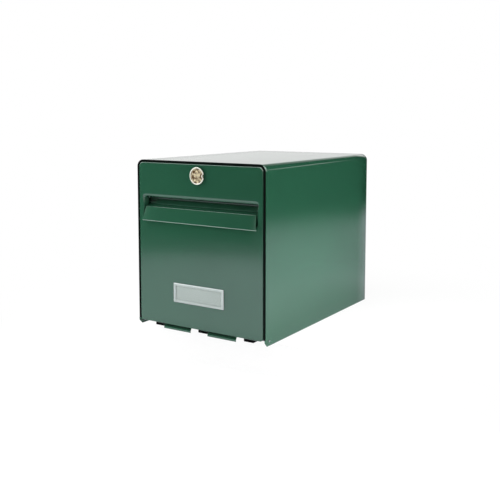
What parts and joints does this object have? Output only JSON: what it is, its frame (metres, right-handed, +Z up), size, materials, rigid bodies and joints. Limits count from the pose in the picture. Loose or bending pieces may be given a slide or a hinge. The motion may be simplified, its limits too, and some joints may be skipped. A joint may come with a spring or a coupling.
{
  "type": "parcel letterbox",
  "caption": "Sheet steel parcel letterbox with a bottom-hinged locking front door, a gravity mail flap and a name plate.",
  "frame": {"origin": "middle of the base under the whole box's bounding box, on the surface that the side hems stand on", "axes": "+X to the right seen from the front, +Y from the door towards the wall, +Z up"},
  "size_m": [0.281, 0.4104, 0.312],
  "materials": {
    "green_paint": "semi-gloss dark green powder coat",
    "black_rubber": "smooth, slightly glossy",
    "black_nylon": "moulded, satin",
    "zinc_steel": "bright zinc plated",
    "brass": "polished, nickel tinted",
    "silver_frame": "satin anodised",
    "clear_window": "clear acrylic",
    "grey_card": "matt card"
  },
  "bodies": {
    "casing": {"casing_wrap": "green_paint", "back_panel": "green_paint", "floor_panel": "green_paint", "front_frame": "green_paint", "door_seal": "black_rubber", "hinge_rod": "zinc_steel", "rod_push_nuts": "zinc_steel", "hinge_bearing_left": "black_nylon", "hinge_bearing_middle": "black_nylon", "hinge_bearing_right": "black_nylon", "bearing_rivets": "zinc_steel"},
    "door": {"door_panel": "green_paint", "hinge_leaf_left": "green_paint", "hinge_leaf_right": "green_paint", "flap_rod": "zinc_steel", "flap_rod_clips": "zinc_steel", "flap_buffers": "black_rubber", "lock_housing": "brass", "lock_nut": "zinc_steel", "dust_cover_rivet": "brass", "nameplate_frame": "silver_frame", "nameplate_window": "clear_window", "name_card": "grey_card", "nameplate_clips": "zinc_steel"},
    "flap": {"slot_flap": "green_paint"},
    "lock_cylinder": {"lock_plug": "brass", "lock_cam": "zinc_steel", "cam_washer": "zinc_steel", "cam_screw": "zinc_steel"},
    "dust_cover": {"lock_dust_cover": "brass"}
  },
  "joints": [
    {"name": "door_hinge", "type": "hinge", "parent": "casing", "child": "door", "pos_m": [0, -0.18475, 0.0087], "axis": [1, 0, 0], "range_deg": [0, 90]},
    {"name": "flap_hinge", "type": "hinge", "parent": "door", "child": "flap", "pos_m": [0, -0.18475, 0.2415], "axis": [-1, 0, 0], "range_deg": [0, 60]},
    {"name": "lock_turn", "type": "hinge", "parent": "door", "child": "lock_cylinder", "pos_m": [0, -0.19975, 0.2872], "axis": [0, -1, 0], "range_deg": [0, 90]},
    {"name": "cover_swing", "type": "hinge", "parent": "door", "child": "dust_cover", "pos_m": [0, -0.20155, 0.2978], "axis": [0, 1, 0], "range_deg": [0, 130]}
  ]
}
